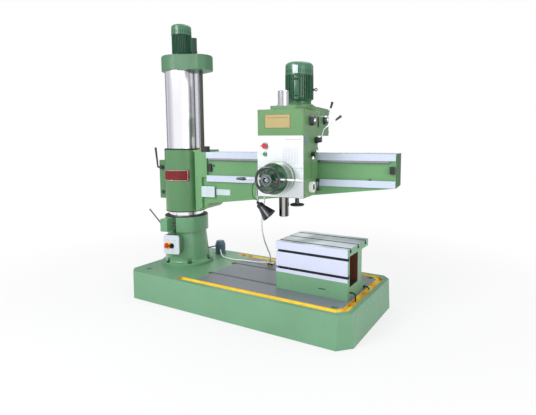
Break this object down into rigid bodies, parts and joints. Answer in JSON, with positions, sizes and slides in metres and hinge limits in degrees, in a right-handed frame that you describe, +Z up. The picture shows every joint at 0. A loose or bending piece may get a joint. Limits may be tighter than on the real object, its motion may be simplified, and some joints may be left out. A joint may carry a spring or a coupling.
{
  "type": "radial arm drill",
  "caption": "Radial arm drilling machine: slotted base with box table, round column, rising and swinging arm, and a drill head that travels along the arm.",
  "frame": {"origin": "on the floor under the base, on the axis of the round column", "axes": "+X along the base from the column towards the work table, +Y away from the operator, +Z up"},
  "size_m": [2.5322, 1.1895, 2.726],
  "materials": {
    "casting": "pale green machine paint on cast iron, machined faces bare",
    "head_paint": "gloss mid-green machine paint on cast iron",
    "motor_paint": "gloss dark green paint",
    "steel_bolts": "plain turned steel",
    "dark_iron": "bare machined iron",
    "bearing_steel": "hardened and ground",
    "black_rubber": "matt black rubber",
    "white_paint": "satin white paint",
    "red_switch": "moulded red plastic",
    "black_plastic": "moulded black plastic",
    "pump_paint": "blue-grey paint",
    "tap_brass": "turned brass",
    "pale_hose": "soft off-white hose",
    "ground_steel": "ground and polished steel",
    "dark_steel": "oiled machined steel",
    "black_paint": "gloss black paint",
    "red_plate": "dark red enamel, bare",
    "pale_plate": "pale plate, bare",
    "brass_plate": "brushed brass, bare",
    "chrome_steel": "polished bright steel",
    "dial_aluminium": "satin, graduated",
    "red_button": "moulded red plastic",
    "green_button": "moulded green plastic"
  },
  "bodies": {
    "base": {"base": "casting", "column_foot": "casting", "base_bolts": "steel_bolts", "inner_column": "dark_iron", "column_bearings": "bearing_steel", "collar_seal": "black_rubber", "switch_box": "white_paint", "work_table": "casting", "coolant_pump": "pump_paint", "coolant_tap": "tap_brass", "drain_tubes": "black_rubber", "deck_hose": "pale_hose"},
    "column_clamp": {"column_clamp_lever": "steel_bolts"},
    "main_switch": {"power_switch": "red_switch"},
    "coolant_switch": {"pump_switch": "black_plastic"},
    "tap_handle": {"tap_handle": "black_plastic"},
    "column": {"column": "ground_steel", "column_cap": "casting", "lift_motor": "motor_paint", "lift_fan_cover": "motor_paint"},
    "lift_screw": {"lift_screw": "dark_steel"},
    "arm": {"arm": "casting", "column_wiper": "black_rubber", "lift_nut": "tap_brass", "arm_rack": "dark_steel", "arm_end_stop": "black_paint", "arm_switches": "black_paint", "sleeve_plate": "red_plate", "arm_plates": "pale_plate"},
    "arm_clamp": {"arm_clamp_lever": "black_paint"},
    "head": {"head": "head_paint", "front_panel": "white_paint", "name_plate": "brass_plate", "feed_housing": "head_paint", "main_motor": "motor_paint", "lifting_eye": "steel_bolts", "main_fan_cover": "motor_paint", "spindle_cover": "chrome_steel", "sight_glass": "white_paint", "lamp_arm": "dark_steel", "lamp_cable": "black_rubber", "coolant_hose": "pale_hose"},
    "quill": {"quill": "chrome_steel", "spindle_bearings": "bearing_steel"},
    "spindle": {"spindle": "chrome_steel"},
    "feed_hub": {"feed_hub": "head_paint", "feed_dial": "dial_aluminium", "feed_levers": "chrome_steel"},
    "feed_pinion": {"feed_pinion": "dark_steel"},
    "handwheel": {"handwheel": "black_paint"},
    "rack_pinion": {"rack_pinion": "dark_steel"},
    "fine_feed_wheel": {"fine_feed_wheel": "black_plastic"},
    "stop_button": {"stop_button": "red_button"},
    "start_button": {"start_button": "green_button"},
    "speed_knob": {"speed_knob": "black_plastic"},
    "speed_lever": {"speed_lever": "black_plastic"},
    "gear_lever": {"gear_lever": "black_plastic"},
    "selector_lever": {"selector_lever": "black_plastic"},
    "head_clamp": {"head_clamp_lever": "black_plastic"},
    "lamp_shade": {"lamp_shade": "black_paint"}
  },
  "joints": [
    {"name": "column_clamp_turn", "type": "hinge", "parent": "base", "child": "column_clamp", "pos_m": [-0.08258, -0.22272, 0.705], "axis": [0.9848, 0.1736, 0], "range_deg": [0, 60]},
    {"name": "main_switch_turn", "type": "hinge", "parent": "base", "child": "main_switch", "pos_m": [0.01682, -0.30401, 0.507], "axis": [0.225, -0.9744, 0], "range_deg": [0, 90]},
    {"name": "coolant_switch_turn", "type": "hinge", "parent": "base", "child": "coolant_switch", "pos_m": [0.07333, -0.29096, 0.507], "axis": [0.225, -0.9744, 0], "range_deg": [0, 90]},
    {"name": "tap_turn", "type": "hinge", "parent": "base", "child": "tap_handle", "pos_m": [0.888, 0.23, 0.298], "axis": [0, -1, 0], "range_deg": [0, 90]},
    {"name": "column_swing", "type": "hinge", "parent": "base", "child": "column", "pos_m": [0, 0, 0.8], "axis": [0, 0, 1], "range_deg": [-180, 180]},
    {"name": "arm_lift", "type": "slide", "parent": "column", "child": "arm", "axis": [0, 0, 1], "range_m": [-0.02, 0.56]},
    {"name": "lift_screw_turn", "type": "hinge", "parent": "column", "child": "lift_screw", "pos_m": [0.23551, 0.01523, 1.5], "axis": [0, 0, 1], "continuous": true},
    {"name": "arm_clamp_turn", "type": "hinge", "parent": "arm", "child": "arm_clamp", "pos_m": [-0.23137, -0.11431, 1.28], "axis": [0.1513, -0.9885, 0], "range_deg": [0, 75]},
    {"name": "head_travel", "type": "slide", "parent": "arm", "child": "head", "axis": [0.9885, 0.1513, 0], "range_m": [-0.78, 0.46], "deforming": ["coolant_hose"]},
    {"name": "rack_pinion_turn", "type": "hinge", "parent": "head", "child": "rack_pinion", "pos_m": [1.36109, 0.03023, 1.339], "axis": [0.1513, -0.9885, 0], "continuous": true},
    {"name": "handwheel_turn", "type": "hinge", "parent": "head", "child": "handwheel", "pos_m": [1.46077, -0.62119, 1.262], "axis": [0.1513, -0.9885, 0], "continuous": true},
    {"name": "quill_feed", "type": "slide", "parent": "head", "child": "quill", "axis": [0, 0, -1], "range_m": [0, 0.315]},
    {"name": "spindle_spin", "type": "hinge", "parent": "quill", "child": "spindle", "pos_m": [1.40318, -0.2911, 1], "axis": [0, 0, -1], "continuous": true},
    {"name": "feed_pinion_turn", "type": "hinge", "parent": "head", "child": "feed_pinion", "pos_m": [1.45458, -0.28324, 1.262], "axis": [0.1513, -0.9885, 0], "continuous": true},
    {"name": "feed_hub_turn", "type": "hinge", "parent": "head", "child": "feed_hub", "pos_m": [1.44035, -0.48774, 1.262], "axis": [0.1513, -0.9885, 0], "continuous": true},
    {"name": "fine_feed_turn", "type": "hinge", "parent": "head", "child": "fine_feed_wheel", "pos_m": [1.46614, -0.1803, 1.014], "axis": [0, 0, 1], "continuous": true},
    {"name": "stop_push", "type": "slide", "parent": "head", "child": "stop_button", "axis": [-0.1513, 0.9885, 0], "range_m": [0, 0.004], "stiffness_N_per_m": 900},
    {"name": "start_push", "type": "slide", "parent": "head", "child": "start_button", "axis": [-0.1513, 0.9885, 0], "range_m": [0, 0.004], "stiffness_N_per_m": 900},
    {"name": "speed_knob_turn", "type": "hinge", "parent": "head", "child": "speed_knob", "pos_m": [1.59046, -0.16634, 1.726], "axis": [0.9885, 0.1513, 0], "range_deg": [-120, 120]},
    {"name": "speed_lever_turn", "type": "hinge", "parent": "head", "child": "speed_lever", "pos_m": [1.53419, 0.20138, 1.746], "axis": [0.9885, 0.1513, 0], "range_deg": [-30, 30]},
    {"name": "gear_lever_turn", "type": "hinge", "parent": "head", "child": "gear_lever", "pos_m": [1.57216, -0.04673, 1.565], "axis": [0.9885, 0.1513, 0], "range_deg": [-20, 20]},
    {"name": "selector_turn", "type": "hinge", "parent": "head", "child": "selector_lever", "pos_m": [1.58607, -0.13767, 1.442], "axis": [0.9885, 0.1513, 0], "range_deg": [-40, 40]},
    {"name": "head_clamp_turn", "type": "hinge", "parent": "head", "child": "head_clamp", "pos_m": [1.56792, -0.01905, 1.216], "axis": [0.9885, 0.1513, 0], "range_deg": [-45, 35]},
    {"name": "lamp_tilt", "type": "hinge", "parent": "head", "child": "lamp_shade", "pos_m": [1.19973, -0.38293, 1.04], "axis": [-0.1513, 0.9885, 0], "range_deg": [-20, 35], "deforming": ["lamp_cable"]}
  ],
  "couplings": [
    {"joint": "lift_screw_turn", "follows": "arm_lift", "rad_per_m": 392.7},
    {"joint": "rack_pinion_turn", "follows": "head_travel", "rad_per_m": 33.333},
    {"joint": "handwheel_turn", "follows": "head_travel", "rad_per_m": 33.333},
    {"joint": "feed_pinion_turn", "follows": "quill_feed", "rad_per_m": 51.282},
    {"joint": "feed_hub_turn", "follows": "quill_feed", "rad_per_m": -51.282}
  ]
}
